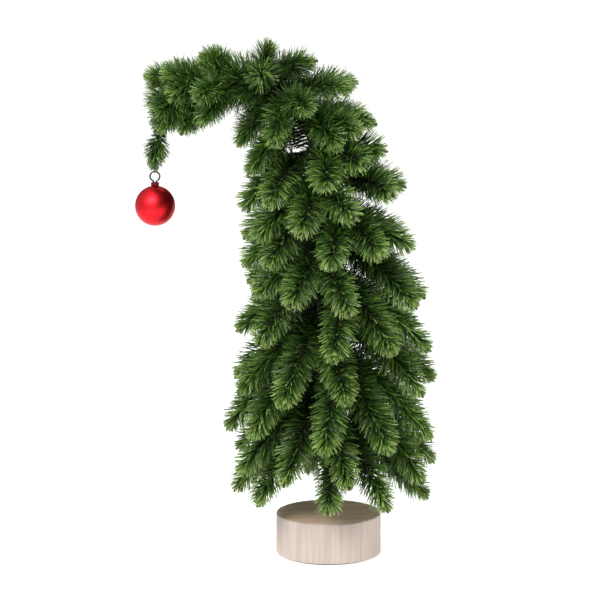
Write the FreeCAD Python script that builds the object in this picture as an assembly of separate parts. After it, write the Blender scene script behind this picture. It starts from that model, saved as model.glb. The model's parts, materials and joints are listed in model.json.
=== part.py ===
import FreeCAD, Part
import math
import os
import random
from collections import namedtuple

# Artificial tabletop tree, in millimetres. +Z is up, the origin is the centre of the resting
# face, the leader droops towards -X and the front of the tree faces -Y.

V = FreeCAD.Vector

# Base
BASE_RADIUS = 53.0
DISC_HEIGHT = 40.5
DISC_CHAMFER = 0.7
PAD_RADIUS = 49.0
PAD_THICKNESS = 1.5
BASE_TOP = PAD_THICKNESS + DISC_HEIGHT
ROD_HOLE_DEPTH = 28.0
ROD_HOLE_CLEARANCE = 0.05

# Centreline of the trunk and its leader: a straight, a gentle lean, the arch, a run that heads
# outwards, a tight bend and a drop. A length is along the centreline, a turn is in degrees.
TRUNK_STRAIGHT = 340.0
LEAN_RADIUS, LEAN_TURN = 200.0, 33.0
ARCH_RADIUS, ARCH_TURN = 66.0, 72.0
RUN_LENGTH = 47.5
BEND_RADIUS, BEND_TURN = 18.0, 65.0
DROP_LENGTH = 53.0

# Stations along the centreline, measured from the resting face
SHOULDER_HINGE = 434.0
CROWN_HINGE = 517.0
BEND_HINGE = 597.5

# The shortest edge worth making when the centreline is cut
SHORTEST_EDGE = 1e-6

# Round wires and the tape wound over them
ROD_RADIUS = 2.5
WRAP_RADIUS = 6.0
SHOULDER_RADIUS = 4.5
RUN_RADIUS = 3.5
DROP_WIRE_RADIUS = 1.0
LEADER_KNUCKLE_RADIUS = 2.8
LEADER_KNUCKLE_LENGTH = 8.0
BARE_WIRE_RADIUS = 1.8
BARE_WIRE_LENGTH = 5.5
BARE_WIRE_OVERLAP = 1.0
JOINT_GAP = 0.5

# Branches: a stem on a knuckle at the trunk, forking into soft needle cores
KNUCKLE_RADIUS = 1.5
KNUCKLE_LENGTH = 3.6
KNUCKLE_GAP = 0.25
STEM_RADIUS = 1.0
CORE_RADIUS = 6.0
CORE_ROOT_RADIUS = 1.6
CORE_SHOULDER = 0.3
CORE_TAPER = 0.8
TRUNK_FORK = 18.0
TUFT_FORK = 10.0
BRANCHES_PER_TIER = 3
TIPS_PER_BRANCH = 3
TIER_PHASE = -54.0
TIER_PHASE_STEP = 60.0
SIDE_TIP_SPREAD = 36.0
TUFT_TIP_SPREAD = 24.0

# Whorls on the trunk: station, reach of the tips from the trunk's axis, droop in degrees, and how
# much further the tips reach on the leader's side
TRUNK_TIERS = [
    (143.0, 92.0, 40.0, -6.0),
    (179.0, 98.0, 42.0, -4.0),
    (215.0, 100.0, 40.0, -3.0),
    (251.0, 97.0, 38.0, -5.0),
    (287.0, 90.0, 35.0, -8.0),
    (323.0, 85.0, 33.0, -6.0),
    (357.0, 79.0, 32.5, 0.0),
    (388.0, 76.0, 26.0, 11.0),
    (416.0, 69.0, 21.0, 13.0),
]

# Tufts on the leader: station, azimuth about the leader (0 is the arch's outside, -90 the front),
# lean back along the leader in degrees, length from the hinge, number of tips
SHOULDER_TUFTS = [
    (449.0, -52.0, 30.0, 68.0, 3),
    (449.0, 62.0, 30.0, 68.0, 3),
    (449.0, 180.0, 16.0, 60.0, 3),
    (473.0, -12.0, 35.0, 58.0, 2),
    (473.0, -100.0, 16.0, 56.0, 2),
    (473.0, 95.0, 18.0, 56.0, 2),
    (473.0, 172.0, -8.0, 50.0, 2),
    (500.0, 18.0, 50.0, 45.0, 2),
    (500.0, -54.0, -8.0, 38.0, 2),
    (500.0, 112.0, 6.0, 46.0, 2),
]
RUN_TUFTS = [
    (530.0, 0.0, -38.0, 28.0, 2),
    (530.0, -116.0, -38.0, 44.0, 2),
    (530.0, 116.0, -38.0, 44.0, 2),
    (552.0, 60.0, -50.0, 40.0, 2),
    (552.0, 180.0, -50.0, 42.0, 2),
    (552.0, -60.0, -50.0, 40.0, 2),
    (575.0, 0.0, -52.0, 32.0, 2),
    (575.0, 120.0, -50.0, 36.0, 2),
    (575.0, -120.0, -50.0, 36.0, 2),
]

# Natural irregularity of hand-shaped wires
SHAPE_SEED = 7
AZIMUTH_SCATTER = 3.0
LEAN_SCATTER = 2.0
REACH_SCATTER = 3.0

# Drooping end: its brush and the eye that the ornament hangs on
DROP_BRUSH_START = 608.5
DROP_BRUSH_END = 652.5
DROP_BRUSH_RADIUS = 5.5
EYE_WIRE_RADIUS = 0.6
EYE_HALF_WIDTH = 3.2
EYE_CORNER_RADIUS = 1.7
EYE_HEIGHT = 4.0
BEAD_RADIUS = 1.6
BEAD_DROP = 1.0

# Ornament
BALL_RADIUS = 20.0
BALL_WALL = 0.8
NECK_RADIUS = 3.0
NECK_BORE_RADIUS = 2.3
NECK_HEIGHT = 2.5
CAP_GAP = 0.1
CAP_WALL = 0.8
CAP_STAND_OFF = 0.05
LOOP_WIRE_RADIUS = 0.55
LOOP_RADIUS = 4.8
LOOP_FLARE_RADIUS = 2.0
LOOP_LEG_OFFSET = 1.5
LOOP_LEG_DEPTH = 8.0
LOOP_HOLE_CLEARANCE = 0.1
LOOP_STAND_OFF = 0.2
HANG_CLEARANCE = 0.1

Branch = namedtuple("Branch", "name body origin outward along reach_points fork hinge_radius")


# --- Centreline ---------------------------------------------------------------------------


def centreline_pieces():
    """The centreline's straights and arcs in order: length and radius (0 for a straight)."""
    return [
        (TRUNK_STRAIGHT, 0.0),
        (LEAN_RADIUS * math.radians(LEAN_TURN), LEAN_RADIUS),
        (ARCH_RADIUS * math.radians(ARCH_TURN), ARCH_RADIUS),
        (RUN_LENGTH, 0.0),
        (BEND_RADIUS * math.radians(BEND_TURN), BEND_RADIUS),
        (DROP_LENGTH, 0.0),
    ]


def heading_vectors(heading):
    """Unit vectors along the centreline and towards the arch's outside."""
    along = V(-math.sin(heading), 0, math.cos(heading))
    outside = V(math.cos(heading), 0, math.sin(heading))
    return along, outside


def centreline(station):
    """Point and heading (radians from vertical, towards -X) at a station."""
    point, heading, left = V(0, 0, 0), 0.0, station
    for length, radius in centreline_pieces():
        step = min(left, length)
        along, outside = heading_vectors(heading)
        if radius:
            turn = step / radius
            point = point + along * (radius * math.sin(turn))
            point = point - outside * (radius * (1 - math.cos(turn)))
            heading += turn
        else:
            point = point + along * step
        left -= step
        if left <= 0:
            break
    return point, heading


def centreline_wire(start, end):
    """The stretch of the centreline between two stations, as a wire."""
    edges, reached = [], 0.0
    for length, radius in centreline_pieces():
        low, high = max(start, reached), min(end, reached + length)
        reached += length
        if high - low < SHORTEST_EDGE:
            continue
        first, last = centreline(low)[0], centreline(high)[0]
        if radius:
            edges.append(Part.Arc(first, centreline((low + high) / 2)[0], last).toShape())
        else:
            edges.append(Part.makeLine(first, last))
    return Part.Wire(edges)


# --- Small builders -----------------------------------------------------------------------


def swept_round(wire, radius):
    """A round bar along a wire."""
    edge = wire.Edges[0]
    along = edge.tangentAt(edge.FirstParameter)
    ring = Part.Wire(Part.makeCircle(radius, edge.valueAt(edge.FirstParameter), along))
    return wire.makePipeShell([ring], True, False)


def fused(solids):
    """One solid from overlapping solids."""
    return solids[0].multiFuse(solids[1:]).removeSplitter()


def revolved(outline):
    """A solid of revolution about Z from a closed outline of edges in the XZ plane."""
    face = Part.Face(Part.Wire(outline))
    return face.revolve(V(0, 0, 0), V(0, 0, 1), 360)


def polyline(points):
    """Straight edges through the points, in order."""
    return [Part.makeLine(a, b) for a, b in zip(points, points[1:])]


def needle_core(start, end, radius):
    """The soft middle of a needle brush: swells from the fork and ends in a round tip."""
    axis = end - start
    length = axis.Length
    tip = radius * CORE_TAPER
    quarter = math.radians(45)
    side = polyline(
        [
            V(0, 0, 0),
            V(CORE_ROOT_RADIUS, 0, 0),
            V(radius, 0, CORE_SHOULDER * length),
            V(tip, 0, length - tip),
        ]
    )
    middle = V(tip * math.cos(quarter), 0, length - tip + tip * math.sin(quarter))
    nose = Part.Arc(V(tip, 0, length - tip), middle, V(0, 0, length)).toShape()
    spindle = revolved(side + [nose, Part.makeLine(V(0, 0, length), V(0, 0, 0))])
    spindle.Placement = FreeCAD.Placement(start, FreeCAD.Rotation(V(0, 0, 1), axis))
    return spindle


def cross_pin(centre, direction, radius, length):
    """A cylinder centred on a point."""
    unit = V(direction).normalize()
    return Part.makeCylinder(radius, length, centre - unit * (length / 2), unit)


# --- Branches -----------------------------------------------------------------------------


def local_axes(heading, azimuth):
    """Outward direction at an azimuth about the centreline, and the direction along it."""
    along, outside = heading_vectors(heading)
    turn = math.radians(azimuth)
    return outside * math.cos(turn) + V(0, 1, 0) * math.sin(turn), along


def tip_spreads(count, spread):
    """Angles of a branch's tips about its middle, in degrees."""
    if count == 2:
        return [-spread, spread]
    return [-spread, 0.0, spread]


def trunk_branch(name, row, azimuth, scatter):
    """A three-tipped branch whose tips end on a cone round the trunk."""
    station, reach, lean, leader_side = row
    origin, heading = centreline(station)
    outward, along = local_axes(heading, azimuth)
    hinge_radius = WRAP_RADIUS + KNUCKLE_GAP + KNUCKLE_RADIUS
    tips = []
    for spread in tip_spreads(TIPS_PER_BRANCH, SIDE_TIP_SPREAD):
        turn = math.radians(spread)
        far = reach + scatter.uniform(-REACH_SCATTER, REACH_SCATTER)
        far -= leader_side * math.cos(math.radians(azimuth + spread))
        droop = math.radians(lean + scatter.uniform(-LEAN_SCATTER, LEAN_SCATTER))
        drop = (far - hinge_radius) * math.tan(droop)
        tips.append(V(far * math.cos(turn) - hinge_radius, far * math.sin(turn), -drop))
    return Branch(name, "trunk", origin, outward, along, tips, TRUNK_FORK, hinge_radius)


def leader_tuft(name, body, row, leader_radius, scatter):
    """A shorter two- or three-tipped branch on the leader."""
    station, azimuth, lean, length, count = row
    origin, heading = centreline(station)
    outward, along = local_axes(heading, azimuth)
    hinge_radius = leader_radius + KNUCKLE_GAP + KNUCKLE_RADIUS
    tips = []
    for spread in tip_spreads(count, TUFT_TIP_SPREAD):
        turn = math.radians(spread)
        far = length + scatter.uniform(-REACH_SCATTER, REACH_SCATTER) / 2
        droop = math.radians(lean + scatter.uniform(-LEAN_SCATTER, LEAN_SCATTER))
        flat = far * math.cos(droop)
        tips.append(V(flat * math.cos(turn), flat * math.sin(turn), -far * math.sin(droop)))
    return Branch(name, body, origin, outward, along, tips, TUFT_FORK, hinge_radius)


def all_branches():
    """Every branch and tuft of the tree, from the lowest whorl to the leader's end."""
    scatter = random.Random(SHAPE_SEED)
    branches = []
    for tier, row in enumerate(TRUNK_TIERS):
        for number in range(BRANCHES_PER_TIER):
            azimuth = TIER_PHASE + TIER_PHASE_STEP * tier + 360.0 / BRANCHES_PER_TIER * number
            azimuth += scatter.uniform(-AZIMUTH_SCATTER, AZIMUTH_SCATTER)
            name = f"branch_tier_{tier + 1}_{'abc'[number]}"
            branches.append(trunk_branch(name, row, azimuth, scatter))
    for number, row in enumerate(SHOULDER_TUFTS):
        name = f"shoulder_tuft_{number + 1}"
        branches.append(leader_tuft(name, "leader_shoulder", row, SHOULDER_RADIUS, scatter))
    for number, row in enumerate(RUN_TUFTS):
        name = f"garland_tuft_{number + 1}"
        branches.append(leader_tuft(name, "leader_run", row, RUN_RADIUS, scatter))
    return branches


def branch_hinge(branch):
    """Centre of a branch's hinge, and its axis: a positive turn raises the tips."""
    centre = branch.origin + branch.outward * branch.hinge_radius
    return centre, branch.outward.cross(branch.along)


def branch_solid(branch):
    """Knuckle, stem and needle cores of one branch."""
    centre, axis = branch_hinge(branch)
    sideways = axis * -1

    def placed(point):
        return centre + branch.outward * point.x + sideways * point.y + branch.along * point.z

    ends = [placed(tip) for tip in branch.reach_points]
    middle = sum(ends, V(0, 0, 0)) * (1.0 / len(ends))
    stem_direction = (middle - centre).normalize()
    fork = centre + stem_direction * branch.fork
    parts = [
        cross_pin(centre, axis, KNUCKLE_RADIUS, KNUCKLE_LENGTH),
        Part.makeCylinder(STEM_RADIUS, branch.fork + STEM_RADIUS, centre, stem_direction),
    ]
    parts += [needle_core(fork, end, CORE_RADIUS) for end in ends]
    return fused(parts)


# --- Base and trunk -----------------------------------------------------------------------


def base_disc():
    """Turned wooden disc with a blind hole for the trunk's rod."""
    disc = Part.makeCylinder(BASE_RADIUS, DISC_HEIGHT, V(0, 0, PAD_THICKNESS))
    rims = [edge for edge in disc.Edges if isinstance(edge.Curve, Part.Circle)]
    disc = disc.makeChamfer(DISC_CHAMFER, rims)
    hole_radius = ROD_RADIUS + ROD_HOLE_CLEARANCE
    hole = Part.makeCylinder(hole_radius, ROD_HOLE_DEPTH, V(0, 0, BASE_TOP - ROD_HOLE_DEPTH))
    return disc.cut(hole)


def foot_pad():
    """Thin soft pad glued under the disc."""
    return Part.makeCylinder(PAD_RADIUS, PAD_THICKNESS)


def trunk_end():
    """Station at which the fixed trunk stops, just short of the shoulder's knuckle."""
    return SHOULDER_HINGE - LEADER_KNUCKLE_RADIUS - JOINT_GAP


def trunk_rod():
    """Steel rod from the bottom of the disc's hole to the shoulder."""
    wire = centreline_wire(BASE_TOP - ROD_HOLE_DEPTH, trunk_end())
    return swept_round(wire, ROD_RADIUS)


def trunk_wrap():
    """Tape wound over the rod and the branch roots."""
    wire = centreline_wire(BASE_TOP, trunk_end())
    return swept_round(wire, WRAP_RADIUS).cut(swept_round(wire, ROD_RADIUS))


# --- Leader -------------------------------------------------------------------------------


def leader_knuckle(station):
    """The round root of a leader stretch, on its bend's axis."""
    centre = centreline(station)[0]
    return cross_pin(centre, V(0, 1, 0), LEADER_KNUCKLE_RADIUS, LEADER_KNUCKLE_LENGTH)


def leader_stretch(start, end, radius):
    """A wrapped stretch of the leader between two bends, with a bare wire at its root."""
    wrapped = swept_round(centreline_wire(start + BARE_WIRE_LENGTH, end), radius)
    bare_end = start + BARE_WIRE_LENGTH + BARE_WIRE_OVERLAP
    bare = swept_round(centreline_wire(start, bare_end), BARE_WIRE_RADIUS)
    return fused([leader_knuckle(start), bare, wrapped])


def leader_shoulder():
    """First stretch of the leader, up to the crown."""
    end = CROWN_HINGE - LEADER_KNUCKLE_RADIUS - JOINT_GAP
    return leader_stretch(SHOULDER_HINGE, end, SHOULDER_RADIUS)


def leader_run():
    """Second stretch, from the crown to the tight bend."""
    end = BEND_HINGE - LEADER_KNUCKLE_RADIUS - JOINT_GAP
    return leader_stretch(CROWN_HINGE, end, RUN_RADIUS)


def leader_end():
    """Point where the leader's centreline stops."""
    return centreline(sum(length for length, _ in centreline_pieces()))[0]


def eye_bottom():
    """Centre of the eye's lowest wire, which is the ornament's hinge."""
    height = EYE_CORNER_RADIUS + EYE_HEIGHT + EYE_HALF_WIDTH
    return leader_end() - V(0, 0, BEAD_DROP + height)


def hanging_eye():
    """Closed eye of wire, standing square to the arch's plane."""
    low = eye_bottom()
    half, corner = EYE_HALF_WIDTH, EYE_CORNER_RADIUS
    inner = corner * (1 - math.cos(math.radians(45)))
    top = corner + EYE_HEIGHT

    def at(y, z):
        return low + V(0, y, z)

    edges = [
        Part.makeLine(at(corner - half, 0), at(half - corner, 0)),
        Part.Arc(at(half - corner, 0), at(half - inner, inner), at(half, corner)).toShape(),
        Part.makeLine(at(half, corner), at(half, top)),
        Part.Arc(at(half, top), at(0, top + half), at(-half, top)).toShape(),
        Part.makeLine(at(-half, top), at(-half, corner)),
        Part.Arc(at(-half, corner), at(inner - half, inner), at(corner - half, 0)).toShape(),
    ]
    return swept_round(Part.Wire(edges), EYE_WIRE_RADIUS)


def leader_drop():
    """Drooping end of the leader: bare wire, slim brush, and an eye on a twisted bead."""
    end = sum(length for length, _ in centreline_pieces())
    wire = swept_round(centreline_wire(BEND_HINGE, end), DROP_WIRE_RADIUS)
    brush_start, brush_end = centreline(DROP_BRUSH_START)[0], centreline(DROP_BRUSH_END)[0]
    brush = needle_core(brush_start, brush_end, DROP_BRUSH_RADIUS)
    bead = Part.makeSphere(BEAD_RADIUS, leader_end())
    return fused([leader_knuckle(BEND_HINGE), wire, brush, bead, hanging_eye()])


# --- Ornament -----------------------------------------------------------------------------


def loop_flare_rise():
    """Height of the loop's ring centre above the top of its straight legs."""
    reach = LOOP_RADIUS + LOOP_FLARE_RADIUS
    offset = LOOP_LEG_OFFSET + LOOP_FLARE_RADIUS
    return math.sqrt(reach**2 - offset**2)


def cap_top():
    """Height of the cap's top over the ball's centre."""
    return BALL_RADIUS + NECK_HEIGHT + CAP_STAND_OFF + CAP_WALL


def ball_centre():
    """The ball hangs so that its loop rests on the eye."""
    loop_top = EYE_WIRE_RADIUS + HANG_CLEARANCE + LOOP_WIRE_RADIUS
    loop_height = LOOP_STAND_OFF + loop_flare_rise() + LOOP_RADIUS
    return eye_bottom() + V(0, 0, loop_top - loop_height - cap_top())


def bauble_ball():
    """Hollow blown ball with a short open neck."""
    outer, inner = BALL_RADIUS, BALL_RADIUS - BALL_WALL
    neck_foot = math.sqrt(outer**2 - NECK_RADIUS**2)
    bore_foot = math.sqrt(inner**2 - NECK_BORE_RADIUS**2)
    neck_top = outer + NECK_HEIGHT
    outside = Part.Arc(V(0, 0, -outer), V(outer, 0, 0), V(NECK_RADIUS, 0, neck_foot)).toShape()
    inside = Part.Arc(V(NECK_BORE_RADIUS, 0, bore_foot), V(inner, 0, 0), V(0, 0, -inner)).toShape()
    neck = polyline(
        [
            V(NECK_RADIUS, 0, neck_foot),
            V(NECK_RADIUS, 0, neck_top),
            V(NECK_BORE_RADIUS, 0, neck_top),
            V(NECK_BORE_RADIUS, 0, bore_foot),
        ]
    )
    ball = revolved([outside] + neck + [inside, Part.makeLine(V(0, 0, -inner), V(0, 0, -outer))])
    ball.translate(ball_centre())
    return ball


def bauble_cap():
    """Collar over the neck, with two holes for the loop's legs."""
    bore = NECK_RADIUS + CAP_GAP
    skirt = bore + CAP_WALL
    low, high = BALL_RADIUS + CAP_STAND_OFF, cap_top()
    under_plate = high - CAP_WALL
    outline = polyline(
        [
            V(bore, 0, low),
            V(skirt, 0, low),
            V(skirt, 0, high),
            V(0, 0, high),
            V(0, 0, under_plate),
            V(bore, 0, under_plate),
            V(bore, 0, low),
        ]
    )
    cap = revolved(outline)
    for side in (-1, 1):
        foot = V(side * LOOP_LEG_OFFSET, 0, low)
        radius = LOOP_WIRE_RADIUS + LOOP_HOLE_CLEARANCE
        cap = cap.cut(Part.makeCylinder(radius, high - low + CAP_WALL, foot))
    cap.translate(ball_centre())
    return cap


def loop_side(side, leg_top, ring):
    """Leg and flare on one side of the loop, from the foot up to the ring."""
    flare = V(side * (LOOP_LEG_OFFSET + LOOP_FLARE_RADIUS), 0, leg_top.z)
    to_ring = (ring - flare).normalize()
    meeting = flare + to_ring * LOOP_FLARE_RADIUS
    halfway = (to_ring + V(-side, 0, 0)).normalize()
    leg = Part.makeLine(leg_top - V(0, 0, LOOP_LEG_DEPTH), leg_top)
    arc = Part.Arc(leg_top, flare + halfway * LOOP_FLARE_RADIUS, meeting).toShape()
    return leg, arc, meeting


def bauble_loop():
    """Bent wire loop whose legs spring apart inside the neck."""
    top = cap_top() + LOOP_STAND_OFF
    ring = V(0, 0, top + loop_flare_rise())
    left_leg, left_arc, left_meeting = loop_side(-1, V(-LOOP_LEG_OFFSET, 0, top), ring)
    right_leg, right_arc, right_meeting = loop_side(1, V(LOOP_LEG_OFFSET, 0, top), ring)
    crest = ring + V(0, 0, LOOP_RADIUS)
    over = Part.Arc(left_meeting, crest, right_meeting).toShape()
    loop = swept_round(Part.Wire([left_leg, left_arc, over, right_arc, right_leg]), LOOP_WIRE_RADIUS)
    loop.translate(ball_centre())
    return loop


# --- Export -------------------------------------------------------------------------------


def all_pieces():
    """Every piece of the tree by name."""
    pieces = {
        "base_disc": base_disc(),
        "foot_pad": foot_pad(),
        "trunk_rod": trunk_rod(),
        "trunk_wrap": trunk_wrap(),
        "leader_shoulder": leader_shoulder(),
        "leader_run": leader_run(),
        "leader_drop": leader_drop(),
        "bauble_ball": bauble_ball(),
        "bauble_cap": bauble_cap(),
        "bauble_loop": bauble_loop(),
    }
    for branch in all_branches():
        pieces[branch.name] = branch_solid(branch)
    return pieces


def main():
    os.makedirs("parts", exist_ok=True)
    for name, shape in all_pieces().items():
        shape.exportStep(f"parts/{name}.step")


if __name__ == "__main__":
    main()
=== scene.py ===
import json
import math

import bpy
import numpy as np
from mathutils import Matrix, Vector

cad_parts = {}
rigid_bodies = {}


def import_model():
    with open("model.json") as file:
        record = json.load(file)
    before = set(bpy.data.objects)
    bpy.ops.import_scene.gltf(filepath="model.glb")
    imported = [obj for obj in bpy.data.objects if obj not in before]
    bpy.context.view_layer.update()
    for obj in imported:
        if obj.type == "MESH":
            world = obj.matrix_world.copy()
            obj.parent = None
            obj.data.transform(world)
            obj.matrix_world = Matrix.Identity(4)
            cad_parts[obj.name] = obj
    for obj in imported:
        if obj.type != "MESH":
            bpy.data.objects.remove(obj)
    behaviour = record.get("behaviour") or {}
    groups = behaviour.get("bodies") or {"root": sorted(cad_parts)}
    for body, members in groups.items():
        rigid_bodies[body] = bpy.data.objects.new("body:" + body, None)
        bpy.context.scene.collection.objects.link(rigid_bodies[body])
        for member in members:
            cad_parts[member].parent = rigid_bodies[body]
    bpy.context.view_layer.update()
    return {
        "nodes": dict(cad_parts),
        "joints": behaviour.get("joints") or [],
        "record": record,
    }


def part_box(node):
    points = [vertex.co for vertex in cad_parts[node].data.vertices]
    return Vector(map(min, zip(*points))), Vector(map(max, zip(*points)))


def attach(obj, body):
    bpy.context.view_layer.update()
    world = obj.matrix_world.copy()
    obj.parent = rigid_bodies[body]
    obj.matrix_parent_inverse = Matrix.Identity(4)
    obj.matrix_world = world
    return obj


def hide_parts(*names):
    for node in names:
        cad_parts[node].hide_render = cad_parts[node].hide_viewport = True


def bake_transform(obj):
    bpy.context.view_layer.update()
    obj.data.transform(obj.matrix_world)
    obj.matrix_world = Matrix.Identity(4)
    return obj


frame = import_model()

# Artificial tabletop tree: needle brushes on wired branches, a taped trunk with an arched
# leader, a red ball on the leader's end and a round wooden disc. Metres throughout.

RIGHT = np.array([1.0, 0.0, 0.0])
FRONT = np.array([0.0, -1.0, 0.0])
UP = np.array([0.0, 0.0, 1.0])
SEED = 20
LEADER_SEED_STEP = 500

# The centreline of the trunk and leader, as (length, radius) with radius 0 for a straight
CENTRELINE = [
    (0.340, 0.0),
    (0.200 * math.radians(33), 0.200),
    (0.066 * math.radians(72), 0.066),
    (0.0475, 0.0),
    (0.018 * math.radians(65), 0.018),
    (0.053, 0.0),
]

# Stations along it, from the resting face: where the trunk leaves the disc, the middles of the
# leader's stretches, the three hinges, and where each kind of needles starts and ends
TRUNK_FOOT = 0.042
MID_SHOULDER = 0.468
MID_RUN = 0.547
LEADER_END = sum(length for length, _ in CENTRELINE)
SHOULDER_STATION = 0.434
CROWN_STATION = 0.517
BEND_STATION = 0.5975
SHOULDER_NEEDLES_START = 0.422
GARLAND_START = 0.508
GARLAND_END = 0.6035
DROP_START = 0.5995
DROP_END = 0.6585


# --- Small geometry helpers ---------------------------------------------------------------


def unit(vectors):
    """Vectors scaled to length one, along the last axis."""
    return vectors / np.linalg.norm(vectors, axis=-1, keepdims=True)


def smooth(low, high, value):
    """Smooth step from 0 at low to 1 at high."""
    share = np.clip((value - low) / (high - low), 0, 1)
    return share * share * (3 - 2 * share)


def mix(start, end, share):
    """Straight blend between two values."""
    return start + (end - start) * share


def centreline_point(station):
    """Point of the centreline at a station."""
    point, heading, left = np.zeros(3), 0.0, station
    for length, radius in CENTRELINE:
        step = min(left, length)
        along = np.array([-math.sin(heading), 0, math.cos(heading)])
        outside = np.array([math.cos(heading), 0, math.sin(heading)])
        if radius:
            turn = step / radius
            point = point + along * radius * math.sin(turn)
            point = point - outside * radius * (1 - math.cos(turn))
            heading += turn
        else:
            point = point + along * step
        left -= step
        if left <= 0:
            break
    return point


def centreline_path(start, end, spacing=0.002):
    """Points of the centreline between two stations."""
    count = max(2, int((end - start) / spacing) + 1)
    return np.array([centreline_point(s) for s in np.linspace(start, end, count)])


def bezier_path(start, control, end, count=24):
    """Points of a quadratic curve."""
    t = np.linspace(0, 1, count)[:, None]
    return start * (1 - t) ** 2 + 2 * control * t * (1 - t) + end * t**2


def path_lengths(path):
    """Distance along the path to each of its points."""
    steps = np.linalg.norm(np.diff(path, axis=0), axis=1)
    return np.concatenate([[0.0], np.cumsum(steps)])


def sample_path(path, distances):
    """Points and unit tangents at distances along a path."""
    reached = path_lengths(path)
    slopes = np.gradient(path, reached, axis=0)
    points = np.stack([np.interp(distances, reached, path[:, k]) for k in range(3)], axis=1)
    tangents = np.stack([np.interp(distances, reached, slopes[:, k]) for k in range(3)], axis=1)
    return points, unit(tangents)


def square_axes(tangents):
    """Two unit vectors square to each tangent and to each other."""
    crossings = [np.abs(tangents @ side).max() for side in (FRONT, RIGHT, UP)]
    side = (FRONT, RIGHT, UP)[int(np.argmin(crossings))]
    first = unit(np.cross(tangents, side))
    return first, np.cross(tangents, first)


class Shape:
    """Vertices, faces, material numbers and two vertex attributes, gathered bit by bit."""

    def __init__(self):
        self.points, self.faces, self.materials = [], [], []
        self.reach, self.shade = [], []
        self.count = 0

    def add(self, points, faces, material=0, reach=None, shade=None):
        """Adds a block of points (n, 3) and faces that count from its first point."""
        number = len(points)
        self.points.append(points)
        for block in faces:
            self.faces.append(block + self.count)
            self.materials.append(np.full(len(block), material, np.int32))
        self.reach.append(np.zeros(number) if reach is None else reach)
        self.shade.append(np.full(number, 0.5) if shade is None else shade)
        self.count += number

    def build(self, name, materials, soft=False):
        """The Blender object."""
        sizes = np.concatenate([np.full(len(f), f.shape[1], np.int32) for f in self.faces])
        corners = np.concatenate([f.ravel() for f in self.faces]).astype(np.int32)
        mesh = bpy.data.meshes.new(name)
        mesh.vertices.add(self.count)
        mesh.vertices.foreach_set("co", np.concatenate(self.points).astype(np.float32).ravel())
        mesh.loops.add(len(corners))
        mesh.loops.foreach_set("vertex_index", corners)
        mesh.polygons.add(len(sizes))
        starts = np.concatenate([[0], np.cumsum(sizes)[:-1]]).astype(np.int32)
        mesh.polygons.foreach_set("loop_start", starts)
        mesh.polygons.foreach_set("material_index", np.concatenate(self.materials))
        mesh.polygons.foreach_set("use_smooth", np.full(len(sizes), soft))
        for label, values in (("reach", self.reach), ("shade", self.shade)):
            attribute = mesh.attributes.new(label, "FLOAT", "POINT")
            attribute.data.foreach_set("value", np.concatenate(values).astype(np.float32))
        mesh.update(calc_edges=True)
        mesh.validate()
        for material in materials:
            mesh.materials.append(material)
        thing = bpy.data.objects.new(name, mesh)
        bpy.context.scene.collection.objects.link(thing)
        return thing


def tube_faces(rings, sides):
    """Quads between rings of equal size, and a flat cap at each end."""
    ring, side = np.meshgrid(np.arange(rings - 1), np.arange(sides), indexing="ij")
    after = (side + 1) % sides
    quads = np.stack(
        [ring * sides + side, ring * sides + after, (ring + 1) * sides + after, (ring + 1) * sides + side],
        axis=-1,
    ).reshape(-1, 4)
    first = np.arange(sides)[::-1][None, :]
    last = (np.arange(sides) + (rings - 1) * sides)[None, :]
    return [quads, first, last]


def add_tube(shape, path, radius, sides, material=0):
    """A capped tube along a path; radius(distance, angle) gives its surface."""
    distances = path_lengths(path)
    points, tangents = sample_path(path, distances)
    first, second = square_axes(tangents)
    angles = np.linspace(0, 2 * math.pi, sides, endpoint=False)
    grid_distance, grid_angle = np.meshgrid(distances, angles, indexing="ij")
    radii = radius(grid_distance, grid_angle)[..., None]
    around = np.cos(grid_angle)[..., None] * first[:, None] + np.sin(grid_angle)[..., None] * second[:, None]
    surface = (points[:, None] + around * radii).reshape(-1, 3)
    shape.add(surface, tube_faces(len(path), sides), material)


def add_ring(shape, outline, radius, sides, material=0):
    """A round wire bent along a closed outline whose points do not repeat the first."""
    tangents = unit(np.roll(outline, -1, axis=0) - np.roll(outline, 1, axis=0))
    first, second = square_axes(tangents)
    angles = np.linspace(0, 2 * math.pi, sides, endpoint=False)[None, :, None]
    around = np.cos(angles) * first[:, None] + np.sin(angles) * second[:, None]
    surface = (outline[:, None] + around * radius).reshape(-1, 3)
    count = len(outline)
    ring, side = np.meshgrid(np.arange(count), np.arange(sides), indexing="ij")
    onward, after = (ring + 1) % count, (side + 1) % sides
    quads = np.stack(
        [ring * sides + side, ring * sides + after, onward * sides + after, onward * sides + side], axis=-1
    )
    shape.add(surface, [quads.reshape(-1, 4)], material)


def arc_points(centre, radius, start, end, count, across, up):
    """Points of an arc, its angles in degrees from the across direction towards up."""
    angles = np.radians(np.linspace(start, end, count))[:, None]
    return centre + radius * (np.cos(angles) * across + np.sin(angles) * up)


# --- Needles ------------------------------------------------------------------------------


def brush_style(places, leans, lengths, growth_and_shade, density, wire, scatter=3, width=1.0, closed=False):
    """How the needles of a brush stand. At places from 0 to 1 along it: their angle off the
    wire in degrees, their length in metres, and how fresh and light they are, partly the lighter
    colour of fresher needles and partly painted shade that darkens the needles nearer the trunk.
    Then needles per metre, the wire's radius, the angle's scatter in degrees, the width against
    the usual one, and whether they crowd towards the end so that they close over it."""
    return {
        "places": places,
        "leans": leans,
        "lengths": lengths,
        "growth_and_shade": growth_and_shade,
        "density": density,
        "wire": wire,
        "scatter": scatter,
        "width": width,
        "crowding": CROWDING if closed else ((0, 1), (0, 1)),
    }


NEEDLE_WIDTH = 0.00130
CROWDING = ((0.0, 0.86, 1.0), (0.0, 0.93, 1.0))

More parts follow.
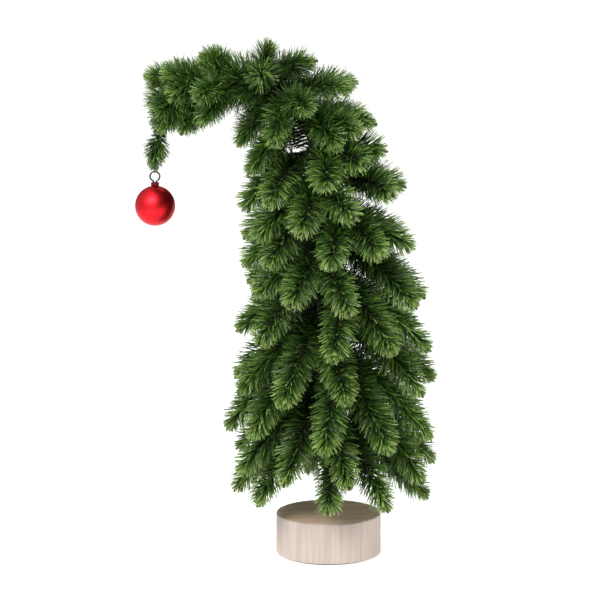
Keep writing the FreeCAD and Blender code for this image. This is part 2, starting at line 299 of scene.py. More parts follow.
# Brushes of the trunk's branches
TIP_STYLE = brush_style(
    places=(0.0, 0.22, 0.60, 0.90, 1.0),
    leans=(60, 52, 48, 42, 8),
    lengths=(0.022, 0.025, 0.0240, 0.0185, 0.0115),
    growth_and_shade=(0.25, 0.45, 0.75, 1.0, 1.0),
    density=7000,
    wire=0.0009,
    closed=True,
)

# Brushes of the tufts on the leader: shorter, finer and less tidy
GARLAND_STYLE = brush_style(
    places=(0.0, 0.30, 0.75, 1.0),
    leans=(56, 48, 40, 14),
    lengths=(0.017, 0.021, 0.0185, 0.0125),
    growth_and_shade=(0.30, 0.50, 0.75, 0.95),
    density=9500,
    wire=0.0009,
    scatter=15,
    width=0.80,
    closed=True,
)

# Needles on a branch's stem, before it forks, dark as painted shade deep in the tree
STEM_STYLE = brush_style(
    places=(0, 1), leans=(42, 62), lengths=(0.016, 0.021), growth_and_shade=(0.15, 0.25), density=9000, wire=0.0012
)

# Needles bound straight onto the leader's shoulder, crown and run
SHOULDER_STYLE = brush_style(
    places=(0, 1), leans=(84, 64), lengths=(0.024, 0.028), growth_and_shade=(0.4, 0.4), density=14000, wire=0.004
)
CROWN_STYLE = brush_style(
    places=(0, 1),
    leans=(64, 62),
    lengths=(0.030, 0.032),
    growth_and_shade=(0.75, 0.75),
    density=26000,
    wire=0.003,
    scatter=14,
    width=0.8,
)
RUN_STYLE = brush_style(
    places=(0.0, 0.6, 1.0),
    leans=(62, 62, 70),
    lengths=(0.033, 0.032, 0.021),
    growth_and_shade=(0.75, 0.75, 0.75),
    density=28000,
    wire=0.002,
    scatter=14,
    width=0.8,
)

# The drooping end: a clump below the bend, a waist, and a second clump over the ball
DROP_STYLE = brush_style(
    places=(0.0, 0.25, 0.40, 0.50, 0.64, 0.84, 1.0),
    leans=(58, 54, 50, 62, 56, 42, 10),
    lengths=(0.018, 0.015, 0.0075, 0.0075, 0.0165, 0.0135, 0.010),
    growth_and_shade=(0.5, 0.5, 0.4, 0.4, 0.5, 0.6, 0.6),
    density=14000,
    wire=0.0010,
    scatter=8,
    width=0.85,
)

# A needle is a thin strip of three rings: their places along it and their widths
RING_SHARES = (0.0, 0.5, 1.0)
RING_WIDTHS = (0.75, 1.0, 0.42)
NEEDLE_THICKNESS = 0.3
RING_POINTS = 3

# Two needle strips are twisted between the wires; along the brush they make half a turn in this
STRIP_TURN = 0.0034

# How single needles differ: their width and length against the usual, their curl as a share of
# their length (middle and spread), their turn round the wire and their roll in radians
WIDTH_RANGE = (0.8, 1.2)
LENGTH_RANGE = (0.86, 1.08)
CURL = (-0.06, 0.07)
TURN_SCATTER = 0.20
ROLL_SCATTER = 0.7


def needle_faces(count):
    """Faces of closed three-sided strips with three rings of three points each."""
    base = (np.arange(count) * len(RING_SHARES) * RING_POINTS)[:, None, None]
    sides = []
    for low in (0, RING_POINTS):
        high = low + RING_POINTS
        for corner in range(RING_POINTS):
            after = (corner + 1) % RING_POINTS
            sides.append([low + corner, low + after, high + after, high + corner])
    quads = (base + np.array(sides)[None]).reshape(-1, 4)
    caps = (base + np.array([[2, 1, 0], [6, 7, 8]])[None]).reshape(-1, 3)
    return [quads, caps]


def add_needles(shape, roots, directions, sideways, lengths, curls, growth_and_shade, width, rng):
    """Flat needles that curl a little, each with its own shade."""
    count = len(roots)
    widths = width * rng.uniform(*WIDTH_RANGE, count)
    normals = np.cross(directions, sideways)
    rings = []
    for share, scale in zip(RING_SHARES, RING_WIDTHS):
        centre = roots + directions * (lengths * share)[:, None]
        centre = centre + normals * (lengths * curls * share**2)[:, None]
        half = sideways * (widths * scale / 2)[:, None]
        back = normals * (widths * scale * NEEDLE_THICKNESS)[:, None]
        rings.append(np.stack([centre - half, centre + half, centre + back], axis=1))
    points = np.concatenate(rings, axis=1).reshape(-1, 3)
    per_needle = len(RING_SHARES) * RING_POINTS
    # Share along each needle times the brush's tone; the material paints shade on the low values at the wire
    reach = np.tile(np.repeat(RING_SHARES, RING_POINTS), count) * np.repeat(growth_and_shade, per_needle)
    shade = np.repeat(rng.uniform(0, 1, count), per_needle)
    shape.add(points, needle_faces(count), 0, reach, shade)


def add_brush(shape, path, rng, style):
    """A bottle brush of needles round a path, rooted in two strips twisted along it."""
    total = path_lengths(path)[-1]
    count = int(total * style["density"])
    share = np.interp((np.arange(count) + rng.uniform(0, 1, count)) / count, *style["crowding"])
    points, tangents = sample_path(path, share * total)
    first, second = square_axes(tangents)
    strip = np.arange(count) % 2
    turn = math.pi * (strip + share * total / STRIP_TURN) + rng.normal(0, TURN_SCATTER, count)
    radial = np.cos(turn)[:, None] * first + np.sin(turn)[:, None] * second
    lean = np.interp(share, style["places"], style["leans"]) + rng.normal(0, style["scatter"], count)
    angle = np.radians(lean)
    directions = np.cos(angle)[:, None] * tangents + np.sin(angle)[:, None] * radial
    across = np.cross(tangents, radial)
    roll = rng.normal(0, ROLL_SCATTER, count)[:, None]
    sideways = np.cos(roll) * across + np.sin(roll) * np.cross(directions, across)
    lengths = np.interp(share, style["places"], style["lengths"]) * rng.uniform(*LENGTH_RANGE, count)
    curls = rng.normal(*CURL, count)
    # Light towards the brush's end; the darker needles near its root are painted shade
    growth_and_shade = np.interp(share, style["places"], style["growth_and_shade"])
    width = NEEDLE_WIDTH * style["width"]
    roots = points + radial * style["wire"]
    add_needles(shape, roots, directions, sideways, lengths, curls, growth_and_shade, width, rng)


def add_twisted_wire(shape, path, radius, material):
    """Two wires twisted together: a two-lobed section that turns along the path."""

    def section(distance, angle):
        return radius * (0.62 + 0.38 * np.abs(np.cos(angle - distance * WIRE_TWIST)))

    add_tube(shape, path, section, 8, material)


# --- Branches -----------------------------------------------------------------------------

# Distance from the hinge to the fork on the trunk's branches and on the tufts, the wires' radii
# and turns (radians per metre), and how far a bare wire sticks out of its brush's end
TRUNK_FORK = 0.018
TUFT_FORK = 0.010
STEM_WIRE = 0.00125
TIP_WIRE = 0.0011
DROP_WIRE = 0.0010
WIRE_TWIST = 900
WIRE_END = 0.0123

# A stem starts this far behind its hinge; a tip rises and drifts off the straight line by these
# shares of its length
STEM_ROOT = 0.001
TIP_LIFT = (0.10, 0.18)
TIP_DRIFT = 0.02

# Tips of one branch: the shortest against the longest, and the least angle between two (degrees)
SHORTEST_TIP = 0.75
TIP_ANGLE = 15

# Material numbers of a brush piece
NEEDLES, WIRE = 0, 1


def tip_ends(node, hinge):
    """Ends of a branch's tips: the far poles of its CAD spindles."""
    points = np.array([v.co for v in frame["nodes"][node].data.vertices], float)
    away = points - hinge
    distance = np.linalg.norm(away, axis=1)
    shortest = SHORTEST_TIP * distance.max()
    free = np.ones(len(points), bool)
    ends = []
    while free.any():
        pick = np.argmax(np.where(free, distance, 0))
        if distance[pick] < shortest:
            break
        ends.append(points[pick])
        cosine = (away @ away[pick]) / np.maximum(distance * distance[pick], 1e-12)
        free &= cosine < math.cos(math.radians(TIP_ANGLE))
    return ends


def branch(joint, number, materials):
    """One branch: twisted stem, forked brushes and their needles, as one piece."""
    node = frame["record"]["behaviour"]["bodies"][joint["child"]][0]
    rng = np.random.default_rng(SEED + number)
    hinge = np.array(joint["pos_m"])
    ends = tip_ends(node, hinge)
    on_trunk = joint["parent"] == "trunk"
    style = TIP_STYLE if on_trunk else GARLAND_STYLE
    middle = unit(np.mean(ends, axis=0) - hinge)
    fork = hinge + middle * (TRUNK_FORK if on_trunk else TUFT_FORK)
    shape = Shape()
    stem = np.linspace(hinge - middle * STEM_ROOT, fork, 12)
    add_twisted_wire(shape, stem, STEM_WIRE, WIRE)
    add_brush(shape, stem[3:], rng, STEM_STYLE)
    for end in ends:
        reach = np.linalg.norm(end - fork)
        lift = UP * reach * rng.uniform(*TIP_LIFT)
        drift = rng.normal(0, TIP_DRIFT, 3) * reach
        path = bezier_path(fork, (fork + end) / 2 + lift + drift, end)
        bare_end = path[-1] + unit(path[-1] - path[-2]) * WIRE_END
        add_twisted_wire(shape, np.vstack([path, bare_end]), TIP_WIRE, WIRE)
        add_brush(shape, path, rng, style)
    piece = shape.build(node + "_brush", materials)
    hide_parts(node)
    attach(piece, joint["child"])


def branches(materials):
    """Every branch and tuft that hangs on a joint of its own."""
    own = [j for j in frame["joints"] if j["child"].startswith(("branch", "shoulder", "garland"))]
    for number, joint in enumerate(own):
        branch(joint, number, materials)


# --- Trunk, leader and garland ------------------------------------------------------------

# Tape wound over the core: pitch of the spiral, height of its overlapping edge, the lumps, the
# spacing of the mesh's rings, and how far the tape runs on past the drooping end's start
TAPE_PITCH = 0.0065
TAPE_EDGE = 0.00075
TAPE_LUMPS = 0.00025
TAPE_SPACING = 0.0009
TAPE_OVERLAP = 0.006

# Half the stretch round a hinge; blend_across finds the centreline's points at its ends but does not use
# them
HINGE_REACH = 0.007


def taped(radius_low, radius_high, length):
    """Surface of tape wound in an overlapping spiral over a tapering core."""

    def surface(distance, angle):
        core = mix(radius_low, radius_high, np.clip(distance / length, 0, 1))
        step = (distance / TAPE_PITCH - angle / (2 * math.pi)) % 1.0
        lumps = TAPE_LUMPS * np.sin(3 * angle + 210 * distance) * np.sin(95 * distance)
        return core - TAPE_EDGE * smooth(0.0, 0.92, step) + TAPE_EDGE * smooth(0.92, 1.0, step) + lumps

    return surface


def blend_across(piece, low, high, station):
    """Bakes the piece's placement into its mesh; the two bodies are not read, and the points found round the
    hinge are not used.
    """
    start = centreline_point(station - HINGE_REACH)
    end = centreline_point(station + HINGE_REACH)
    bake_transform(piece)


# The tape's stretches: piece, CAD node it stands for, start, end, radii there, bodies, hinge
TAPE_STRETCHES = [
    ("trunk_tape", "trunk_wrap", TRUNK_FOOT, MID_SHOULDER, (0.0060, 0.0046),
     ("trunk", "leader_shoulder"), SHOULDER_STATION),
    ("crown_tape", "leader_shoulder", MID_SHOULDER, MID_RUN, (0.0046, 0.0034),
     ("leader_shoulder", "leader_run"), CROWN_STATION),
    ("run_tape", "leader_run", MID_RUN, DROP_START + TAPE_OVERLAP, (0.0034, 0.0016),
     ("leader_run", "leader_drop"), BEND_STATION),
]

# The needles bound onto the leader: piece, start, end, style, bodies, hinge
NEEDLE_STRETCHES = [
    ("shoulder_needles", SHOULDER_NEEDLES_START, GARLAND_START, SHOULDER_STYLE,
     ("trunk", "leader_shoulder"), SHOULDER_STATION),
    ("crown_needles", GARLAND_START, MID_RUN, CROWN_STYLE,
     ("leader_shoulder", "leader_run"), CROWN_STATION),
    ("run_needles", MID_RUN, GARLAND_END, RUN_STYLE,
     ("leader_run", "leader_drop"), BEND_STATION),
]


def tape_stretches(tape):
    """The taped trunk and leader, in stretches that each reach across one hinge."""
    for name, node, start, end, radii, bodies, station in TAPE_STRETCHES:
        shape = Shape()
        add_tube(shape, centreline_path(start, end, TAPE_SPACING), taped(*radii, end - start), 28)
        piece = shape.build(name, [tape], soft=True)
        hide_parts(node)
        blend_across(piece, *bodies, station)


def needle_stretches(needles, rng):
    """The needles bound onto the leader, in stretches that each reach across one hinge."""
    for name, start, end, style, bodies, station in NEEDLE_STRETCHES:
        shape = Shape()
        add_brush(shape, centreline_path(start, end), rng, style)
        piece = shape.build(name, [needles])
        blend_across(piece, *bodies, station)


# The wire eye at the leader's end, and the bead that closes it
EYE_HALF_WIDTH = 0.0032
EYE_CORNER = 0.0017
EYE_HEIGHT = 0.0040
EYE_WIRE = 0.00045
BEAD = 0.0016


def add_eye(shape, material):
    """Wire eye and bead at the leader's end, standing square to the arch's plane."""
    low = np.array(next(j["pos_m"] for j in frame["joints"] if j["child"] == "bauble"))
    inward = EYE_HALF_WIDTH - EYE_CORNER
    across = -FRONT
    parts = [
        arc_points(low + across * inward + UP * EYE_CORNER, EYE_CORNER, -90, 0, 8, across, UP),
        arc_points(low + UP * (EYE_CORNER + EYE_HEIGHT), EYE_HALF_WIDTH, 0, 180, 20, across, UP),
        arc_points(low - across * inward + UP * EYE_CORNER, EYE_CORNER, 180, 270, 8, across, UP),
    ]
    add_ring(shape, np.concatenate(parts), EYE_WIRE, 10, material)
    polar = np.linspace(math.pi, 0, 13)
    bead = [(BEAD * math.sin(a), BEAD * math.cos(a)) for a in polar]
    lathe(shape, bead, 16, material, centreline_point(LEADER_END))


def drooping_end(needles, wire, rng):
    """The leader's end: twisted wire, needles and the eye that the ball hangs on."""
    shape = Shape()
    add_twisted_wire(shape, centreline_path(DROP_START, LEADER_END), DROP_WIRE, WIRE)
    add_eye(shape, WIRE)
    add_brush(shape, centreline_path(DROP_START, DROP_END), rng, DROP_STYLE)
    piece = shape.build("drop_brush", [needles, wire])
    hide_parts("leader_drop")
    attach(piece, "leader_drop")


def trunk_and_leader(tape, needles, wire):
    """The taped trunk and leader, the garland's own needles and the drooping end."""
    tape_stretches(tape)
    rng = np.random.default_rng(SEED + LEADER_SEED_STEP)
    needle_stretches(needles, rng)
    drooping_end(needles, wire, rng)


# --- Materials ----------------------------------------------------------------------------


def new_material(name):
    """A node material, its nodes and links, and its shader."""
    material = bpy.data.materials.new(name)
    material.use_nodes = True
    nodes = material.node_tree.nodes
    return material, nodes, material.node_tree.links, nodes["Principled BSDF"]


def ramp(nodes, stops):
    """A colour ramp with the given stops, in linear colour."""
    node = nodes.new("ShaderNodeValToRGB")
    elements = node.color_ramp.elements
    while len(elements) < len(stops):
        elements.new(0.5)
    for element, (place, colour) in zip(elements, stops):
        element.position = place
        element.color = (*colour, 1.0)
    return node


def attribute(nodes, name):
    """A mesh attribute's value."""
    node = nodes.new("ShaderNodeAttribute")
    node.attribute_name = name
    return node.outputs["Fac"]


def maths(nodes, links, operation, first, second):
    """One maths node on two sockets or numbers."""
    node = nodes.new("ShaderNodeMath")
    node.operation = operation
    for socket, value in zip(node.inputs, (first, second)):
        if isinstance(value, (int, float)):
            socket.default_value = value
        else:
            links.new(value, socket)
    return node.outputs[0]


def weighed(nodes, links, first, first_share, second, second_share):
    """The weighted sum of two values."""
    first_part = maths(nodes, links, "MULTIPLY", first, first_share)
    second_part = maths(nodes, links, "MULTIPLY", second, second_share)
    return maths(nodes, links, "ADD", first_part, second_part)


def noise(nodes, links, scale, stretch=(1, 1, 1), detail=4.0):
    """Noise in the object's own space, stretched along an axis."""
    place = nodes.new("ShaderNodeTexCoord")
    mapping = nodes.new("ShaderNodeMapping")
    mapping.inputs["Scale"].default_value = stretch
    texture = nodes.new("ShaderNodeTexNoise")
    texture.inputs["Scale"].default_value = scale
    texture.inputs["Detail"].default_value = detail
    links.new(place.outputs["Object"], mapping.inputs["Vector"])
    links.new(mapping.outputs["Vector"], texture.inputs["Vector"])
    return texture.outputs["Fac"]


def bump(nodes, links, shader, height, strength, distance):
    """Small relief on a shader."""
    node = nodes.new("ShaderNodeBump")
    node.inputs["Strength"].default_value = strength
    node.inputs["Distance"].default_value = distance
    links.new(height, node.inputs["Height"])
    links.new(node.outputs["Normal"], shader.inputs["Normal"])


def needle_material():
    """Green needles, lighter and yellower towards their ends; the near-black at the wire and deep in the
    tree is painted shade.
    """
    material, nodes, links, shader = new_material("needle_green")
    both = weighed(nodes, links, attribute(nodes, "reach"), 0.66, attribute(nodes, "shade"), 0.38)
    patches = maths(nodes, links, "SUBTRACT", noise(nodes, links, 26.0), 0.5)
    varied = weighed(nodes, links, both, 1.0, patches, 0.35)
    # The two darkest stops are painted shade for the needles' roots and the tree's inside
    colours = ramp(
        nodes,
        [
            (0.0, (0.002, 0.007, 0.001)),
            (0.30, (0.010, 0.034, 0.003)),
            (0.60, (0.060, 0.146, 0.013)),
            (0.92, (0.340, 0.470, 0.130)),
        ],
    )
    links.new(varied, colours.inputs["Fac"])
    links.new(colours.outputs["Color"], shader.inputs["Base Color"])
    shader.inputs["Roughness"].default_value = 0.42
    shader.inputs["Specular IOR Level"].default_value = 0.5
    shader.inputs["Coat Weight"].default_value = 0.25
    shader.inputs["Coat Roughness"].default_value = 0.30
    return material


def wire_material():
    """Wire wrapped in dark green-brown film."""
    material, nodes, links, shader = new_material("stem_wire")
    colours = ramp(nodes, [(0.3, (0.012, 0.014, 0.006)), (0.7, (0.045, 0.032, 0.016))])
    links.new(noise(nodes, links, 300.0), colours.inputs["Fac"])
    links.new(colours.outputs["Color"], shader.inputs["Base Color"])
    shader.inputs["Roughness"].default_value = 0.5
    return material


def tape_material():
    """Dark brown crinkled tape."""
    material, nodes, links, shader = new_material("brown_tape")
    crinkle = noise(nodes, links, 260.0, (1, 1, 0.25), 6.0)
    stops = [(0.25, (0.010, 0.006, 0.004)), (0.6, (0.030, 0.018, 0.010)), (0.85, (0.070, 0.045, 0.028))]
    colours = ramp(nodes, stops)
    links.new(crinkle, colours.inputs["Fac"])
    links.new(colours.outputs["Color"], shader.inputs["Base Color"])
    shader.inputs["Roughness"].default_value = 0.7
    bump(nodes, links, shader, crinkle, 0.5, 0.0005)
    return material


def plain_material(name, colour, roughness, metallic, grain):
    """A small part's material with fine mottling in colour and relief, grain its fineness."""
    material, nodes, links, shader = new_material(name)
    dark = tuple(0.75 * c for c in colour)
    colours = ramp(nodes, [(0.3, dark), (0.7, colour)])
    mottling = noise(nodes, links, grain)
    links.new(mottling, colours.inputs["Fac"])
    links.new(colours.outputs["Color"], shader.inputs["Base Color"])
    shader.inputs["Roughness"].default_value = roughness
    shader.inputs["Metallic"].default_value = metallic
    bump(nodes, links, shader, mottling, 0.15, 0.0002)
    return material


def disc_side_material():
    """Pale pinkish wood with faint upright grain."""
    material, nodes, links, shader = new_material("disc_side_wood")
    grain = noise(nodes, links, 240.0, (1.0, 1.0, 0.05), 5.0)
    figure = noise(nodes, links, 22.0, (1.0, 1.0, 0.12), 3.0)
    stops = [(0.34, (0.50, 0.42, 0.375)), (0.5, (0.560, 0.478, 0.428)), (0.66, (0.61, 0.53, 0.485))]
    colours = ramp(nodes, stops)
    links.new(weighed(nodes, links, grain, 0.85, figure, 0.15), colours.inputs["Fac"])
    links.new(colours.outputs["Color"], shader.inputs["Base Color"])
    shader.inputs["Roughness"].default_value = 0.8
    shader.inputs["Diffuse Roughness"].default_value = 1.0
    shader.inputs["Specular IOR Level"].default_value = 0.2
    bump(nodes, links, shader, grain, 0.2, 0.0003)
    return material


def disc_top_material():
    """Greyish brown wood with long streaks, its colour brightened as painted light against the tree's shade
    on the top.
    """
    material, nodes, links, shader = new_material("disc_top_wood_brightened")
    streaks = noise(nodes, links, 70.0, (0.12, 1.0, 1.0), 8.0)
    broad = noise(nodes, links, 14.0, (0.3, 1.0, 1.0), 3.0)
    # The wood's own warmer tone, brightened past it as painted light against the tree's shade
    stops = [(0.30, (0.52, 0.375, 0.25)), (0.5, (0.80, 0.60, 0.41)), (0.70, (0.98, 0.81, 0.61))]
    colours = ramp(nodes, stops)
    links.new(weighed(nodes, links, streaks, 0.55, broad, 0.45), colours.inputs["Fac"])
    links.new(colours.outputs["Color"], shader.inputs["Base Color"])
    shader.inputs["Roughness"].default_value = 0.6
    shader.inputs["Specular IOR Level"].default_value = 0.2
    bump(nodes, links, shader, streaks, 0.25, 0.0003)
    return material


def ball_material():
    """Satin red lacquer."""
    material, nodes, links, shader = new_material("ball_satin_red")
    flecks = noise(nodes, links, 900.0, (1, 1, 1), 2.0)
    colours = ramp(nodes, [(0.3, (0.56, 0.012, 0.020)), (0.7, (0.70, 0.022, 0.030))])
    links.new(flecks, colours.inputs["Fac"])
    links.new(colours.outputs["Color"], shader.inputs["Base Color"])
    shader.inputs["Metallic"].default_value = 1.0
    shader.inputs["Roughness"].default_value = 0.42
    bump(nodes, links, shader, flecks, 0.05, 0.0001)
    return material


# --- Base ---------------------------------------------------------------------------------

# The disc's eased edge, the rod's hole, the side wood's rim round the browner top, the saw marks'
# heights and their distance from both edges; then the pad's eased edge
DISC_EASE = 0.0011
ROD_HOLE = 0.0026
ROD_HOLE_DEPTH = 0.0002
TOP_RIM = 0.0022
SAW_MARK = 0.00010
FINE_MARK = 0.00006
MARK_MARGIN = 0.002
PAD_EASE = 0.0004


def lathe(shape, profile, sides, material=0, centre=(0, 0, 0), wobble=None):
    """A closed solid of revolution from an open profile that starts and ends on its axis."""
    profile = np.array(profile, float)
    inner = profile[1:-1]
    angles = np.linspace(0, 2 * math.pi, sides, endpoint=False)
    radii = inner[:, 0][:, None] * np.ones(sides)
    if wobble:
        radii = radii + wobble(inner[:, 1][:, None], angles[None, :]) * (radii > 0.0005)
    heights = inner[:, 1][:, None] * np.ones(sides)
    rings = np.stack([radii * np.cos(angles), radii * np.sin(angles), heights], axis=-1)
    points = np.concatenate([rings.reshape(-1, 3), [[0, 0, profile[0, 1]], [0, 0, profile[-1, 1]]]])
    quads = tube_faces(len(inner), sides)[0]
    turn = np.arange(sides)
    after = (turn + 1) % sides
    low, high = len(inner) * sides, len(inner) * sides + 1
    last = (len(inner) - 1) * sides
    bottom = np.stack([after, turn, np.full(sides, low)], axis=1)
    top = np.stack([last + turn, last + after, np.full(sides, high)], axis=1)
    shape.add(points + np.array(centre), [quads, bottom, top], material)


def rounded(radius_from, height_from, radius_to, height_to, bulge, count=6):
    """Quarter-round points from one profile point to another, square to the axis at the start
    when bulge is "out" and along it when it is "up"."""
    t = np.linspace(0, math.pi / 2, count)
    if bulge == "out":
        across, rise = np.sin(t), 1 - np.cos(t)
    else:
        across, rise = 1 - np.cos(t), np.sin(t)
    return [
        (mix(radius_from, radius_to, a), mix(height_from, height_to, r)) for a, r in zip(across, rise)
    ]


def disc(side_material, top_material):
    """The wooden disc: eased edges, upright saw marks round its side and a browner top, its colour
    brightened as painted light.
    """
    low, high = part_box("base_disc")
    radius, ease = high.x, DISC_EASE
    profile = [(0, low.z)]
    profile += rounded(radius - ease, low.z, radius, low.z + ease, "out")
    profile += [(radius, z) for z in np.linspace(low.z + ease, high.z - ease, 24)[1:-1]]
    profile += rounded(radius, high.z - ease, radius - ease, high.z, "up")
    profile += [(r, high.z) for r in np.linspace(radius - ease, ROD_HOLE, 40)[1:]]
    profile += [(ROD_HOLE, high.z - ROD_HOLE_DEPTH), (0, high.z - ROD_HOLE_DEPTH)]

    def wobble(height, angle):
        saw = SAW_MARK * np.sin(47 * angle + 5 * np.sin(3 * angle)) + FINE_MARK * np.sin(131 * angle)
        return saw * (height > low.z + MARK_MARGIN) * (height < high.z - MARK_MARGIN)

    shape = Shape()
    lathe(shape, profile, 192, 0, wobble=wobble)
    piece = shape.build("wooden_disc", [side_material, top_material], soft=True)
    for face in piece.data.polygons:
        on_top = face.center.z > high.z - 2 * ROD_HOLE_DEPTH
        if on_top and math.hypot(face.center.x, face.center.y) < radius - TOP_RIM:
            face.material_index = 1
    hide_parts("base_disc")
    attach(piece, "trunk")


def pad(felt):
    """Soft pad under the disc, its lower edge eased."""
    low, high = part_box("foot_pad")
    radius, ease = high.x, PAD_EASE
    profile = [(0, low.z)]
    profile += rounded(radius - ease, low.z, radius, low.z + ease, "out")
    profile += [(radius, high.z), (0, high.z)]
    shape = Shape()
    lathe(shape, profile, 128)
    piece = shape.build("pad", [felt], soft=True)
    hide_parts("foot_pad")
    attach(piece, "trunk")


# --- Ornament -----------------------------------------------------------------------------

# The ball's open neck
NECK_RADIUS = 0.0030
NECK_BORE = 0.0023
NECK_DEPTH = 0.0040
NECK_EASE = 0.0002

# The cap's wall, eased edge and crimps, which fade out over these depths below its top
CAP_WALL = 0.0008
CAP_EASE = 0.00025
CRIMPS = 22
CRIMP_DEPTH = 0.00016
CRIMP_FADE = (0.0004, 0.0012)

# The loop's wire, its ring, the bends into its legs, and the legs
LOOP_WIRE = 0.00090
LOOP_RADIUS = 0.0048
LOOP_FLARE = 0.0020
LOOP_LEG_OFFSET = 0.0013
LOOP_LEG_DEPTH = 0.0075


def ornament_piece(shape, name, node, material):
    """Finishes one piece of the hanging ball."""
    piece = shape.build(name, [material], soft=True)
    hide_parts(node)
    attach(piece, "bauble")


def ball(paint):
    """Blown ball with a short open neck."""
    low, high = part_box("bauble_ball")
    radius = (high.x - low.x) / 2
    centre = np.array([(low.x + high.x) / 2, 0, low.z + radius])
    top = high.z - centre[2]
    arc = np.linspace(math.pi, math.asin(NECK_RADIUS / radius), 90)
    profile = [(radius * math.sin(a), radius * math.cos(a)) for a in arc]
    profile[0] = (0, -radius)
    profile += [(NECK_RADIUS, top - NECK_EASE), (NECK_RADIUS - NECK_EASE, top), (NECK_BORE, top)]
    profile += [(NECK_BORE, top - NECK_DEPTH), (0, top - NECK_DEPTH)]
    shape = Shape()
    lathe(shape, profile, 128, 0, centre)
    ornament_piece(shape, "ball", "bauble_ball", paint)


def cap(paint):
    """Collar over the neck, its skirt crimped all round."""
    low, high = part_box("bauble_cap")
    skirt, height = (high.x - low.x) / 2, high.z - low.z
    bore = skirt - CAP_WALL
    profile = [(0, height - CAP_WALL), (bore, height - CAP_WALL), (bore, 0.0), (skirt - CAP_EASE, 0.0)]
    profile += [(skirt, z) for z in np.linspace(CAP_EASE, height - CAP_EASE, 9)]
    profile += rounded(skirt, height - CAP_EASE, skirt - CAP_EASE, height, "up")[1:]
    profile += [(bore / 2, height), (0, height)]

    def crimps(rise, angle):
        fade = smooth(height - CRIMP_FADE[0], height - CRIMP_FADE[1], rise)
        return CRIMP_DEPTH * np.cos(CRIMPS * angle) * fade

    shape = Shape()
    lathe(shape, profile, 176, 0, ((high.x + low.x) / 2, 0, low.z), wobble=crimps)
    ornament_piece(shape, "cap", "bauble_cap", paint)


def loop(wire):
    """Bent wire loop whose legs spring apart inside the neck."""
    low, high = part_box("bauble_loop")
    middle = (high.x + low.x) / 2
    ring = np.array([middle, 0, high.z - (high.x - low.x) / 2])
    reach, offset = LOOP_RADIUS + LOOP_FLARE, LOOP_LEG_OFFSET + LOOP_FLARE
    rise = math.sqrt(reach**2 - offset**2)
    swing = math.degrees(math.atan2(rise, offset))
    leg_top = ring - UP * rise
    right, left = leg_top + RIGHT * offset, leg_top - RIGHT * offset
    leg = np.linspace(0, LOOP_LEG_DEPTH, 6)[:, None]
    path = np.concatenate(
        [
            (leg_top + RIGHT * LOOP_LEG_OFFSET - UP * leg)[:0:-1],
            arc_points(right, LOOP_FLARE, 180, 180 - swing, 8, RIGHT, UP),
            arc_points(ring, LOOP_RADIUS, -swing, 180 + swing, 48, RIGHT, UP)[1:],
            arc_points(left, LOOP_FLARE, swing, 0, 8, RIGHT, UP)[1:],
            (leg_top - RIGHT * LOOP_LEG_OFFSET - UP * leg)[1:],
        ]
    )
    shape = Shape()
    add_tube(shape, path, lambda distance, angle: LOOP_WIRE + 0 * angle, 12)
    ornament_piece(shape, "wire_loop", "bauble_loop", wire)


# --- Stage --------------------------------------------------------------------------------

# The studio's brightness for scattered light, in reflections and to the camera, and the
# directions over which the reflected box darkens
WORLD_SCATTERED = 0.31
WORLD_REFLECTED = 0.90
WORLD_SEEN = 0.9
WORLD_RIGHT = (0.12, 0.42)
WORLD_BEHIND = (0.25, 0.85)

# The floor's own glow: to the camera it rises with the distance from the tree
FLOOR_GLOW = 0.30
FLOOR_SEEN = (0.58, 0.85)
FLOOR_SPREAD = (0.15, 1.0)

# Lights: name, place, size, power, and whether reflections show it
LIGHT_TARGET = (0, 0, 0.25)
LIGHTS = [
    ("key", (-0.8, -1.5, 1.7), 1.1, 54, True),
    ("fill", (1.4, -1.2, 0.9), 1.2, 17, False),
    ("top", (0.1, 0.4, 1.9), 1.2, 16, True),
]

# The camera looks slightly down on the tree from well in front
CAMERA_TARGET = (-0.0289, 0, 0.2601)
CAMERA_DISTANCE = 2.6
CAMERA_ELEVATION = 9.74
VIEW_WIDTH = 0.6
SENSOR = 36


def by_ray(nodes, links, ray, otherwise, chosen):
    """One value for a kind of light ray and another for the rest."""
    node = nodes.new("ShaderNodeMix")
    links.new(nodes.new("ShaderNodeLightPath").outputs[ray], node.inputs["Factor"])
    for label, value in (("A", otherwise), ("B", chosen)):
        if isinstance(value, (int, float)):
            node.inputs[label].default_value = value
        else:
            links.new(value, node.inputs[label])
    return node.outputs["Result"]


def map_range(nodes, links, value, source, result):
    """A value mapped from one range to another and held at its ends."""
    node = nodes.new("ShaderNodeMapRange")
    for label, number in zip(("From Min", "From Max", "To Min", "To Max"), source + result):
        node.inputs[label].default_value = number
    links.new(value, node.inputs["Value"])
    return node.outputs["Result"]


def studio_world():
    """Even pale light all round; reflections see a soft box that darkens to its right and
    behind the tree."""
    world = bpy.data.worlds.new("studio")
    world.use_nodes = True
    nodes, links = world.node_tree.nodes, world.node_tree.links
    place = nodes.new("ShaderNodeTexCoord")
    axes = nodes.new("ShaderNodeSeparateXYZ")
    links.new(place.outputs["Generated"], axes.inputs["Vector"])
    right = map_range(nodes, links, axes.outputs["X"], WORLD_RIGHT, (1.0, 0.05))
    behind = map_range(nodes, links, axes.outputs["Y"], WORLD_BEHIND, (1.0, 0.15))
    box = maths(nodes, links, "MULTIPLY", maths(nodes, links, "MULTIPLY", right, behind), WORLD_REFLECTED)
    lit = by_ray(nodes, links, "Is Glossy Ray", WORLD_SCATTERED, box)
    strength = by_ray(nodes, links, "Is Camera Ray", lit, WORLD_SEEN)
    nodes["Background"].inputs["Color"].default_value = (1, 1, 1, 1)
    links.new(strength, nodes["Background"].inputs["Strength"])
    bpy.context.scene.world = world


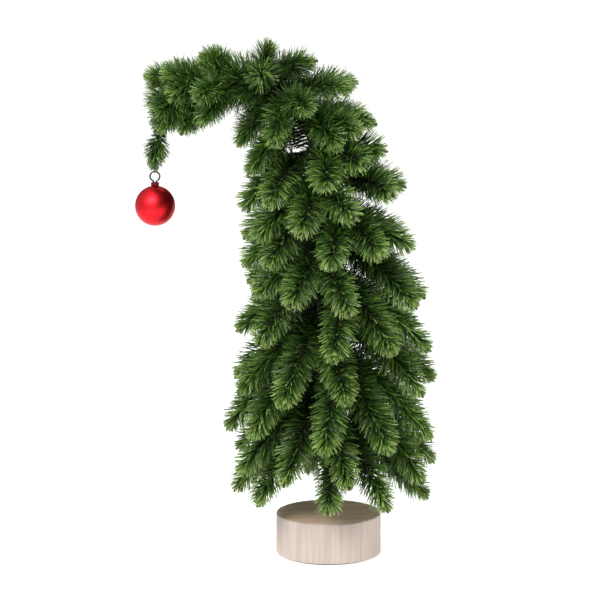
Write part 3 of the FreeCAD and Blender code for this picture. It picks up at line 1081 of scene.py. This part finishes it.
def floor():
    """Pale floor that glows a little, so that it fades to white round the tree."""
    bpy.ops.mesh.primitive_plane_add(size=60, location=(0, 0, 0))
    plane = bpy.context.object
    plane.name = "floor"
    material, nodes, links, shader = new_material("floor_pale")
    shader.inputs["Base Color"].default_value = (0.9, 0.9, 0.9, 1)
    shader.inputs["Roughness"].default_value = 0.9
    shader.inputs["Emission Color"].default_value = (1, 1, 1, 1)
    spot = nodes.new("ShaderNodeNewGeometry")
    away = nodes.new("ShaderNodeVectorMath")
    away.operation = "LENGTH"
    links.new(spot.outputs["Position"], away.inputs[0])
    seen = map_range(nodes, links, away.outputs["Value"], FLOOR_SPREAD, FLOOR_SEEN)
    glow = by_ray(nodes, links, "Is Camera Ray", FLOOR_GLOW, seen)
    links.new(glow, shader.inputs["Emission Strength"])
    plane.data.materials.append(material)


def look_at(thing, place, target):
    """Puts a light or camera at a place, facing a target."""
    thing.location = place
    thing.rotation_euler = (Vector(target) - Vector(place)).to_track_quat("-Z", "Y").to_euler()
    bpy.context.scene.collection.objects.link(thing)


def lights():
    """Soft studio lights."""
    for name, place, size, power, reflected in LIGHTS:
        data = bpy.data.lights.new(name, "AREA")
        data.size = size
        data.energy = power
        light = bpy.data.objects.new(name, data)
        light.visible_glossy = reflected
        look_at(light, place, LIGHT_TARGET)


def camera():
    """The camera, square to the arch's plane."""
    data = bpy.data.cameras.new("camera")
    data.sensor_width = SENSOR
    data.lens = SENSOR * CAMERA_DISTANCE / VIEW_WIDTH
    thing = bpy.data.objects.new("camera", data)
    elevation = math.radians(CAMERA_ELEVATION)
    back = Vector((0, -math.cos(elevation), math.sin(elevation)))
    look_at(thing, Vector(CAMERA_TARGET) + CAMERA_DISTANCE * back, CAMERA_TARGET)
    bpy.context.scene.camera = thing


def main():
    needles = needle_material()
    wire = wire_material()
    tape = tape_material()
    branches([needles, wire])
    trunk_and_leader(tape, needles, wire)
    disc(disc_side_material(), disc_top_material())
    ball(ball_material())
    cap(plain_material("cap_dark_red", (0.17, 0.007, 0.011), roughness=0.35, metallic=0.7, grain=400.0))
    # The loop's silver is darkened as painted shade, standing in for the dark edges of its reflections
    loop(plain_material("loop_silver_darkened", (0.115, 0.105, 0.096), roughness=0.25, metallic=1.0, grain=400.0))
    pad(plain_material("pad_black", (0.03, 0.03, 0.03), roughness=0.85, metallic=0.0, grain=500.0))
    steel = plain_material("rod_steel", (0.45, 0.44, 0.42), roughness=0.4, metallic=1.0, grain=200.0)
    for slot in frame["nodes"]["trunk_rod"].material_slots:
        slot.material = steel
    floor()
    lights()
    camera()
    studio_world()
    bpy.context.scene.view_settings.view_transform = "Standard"


main()
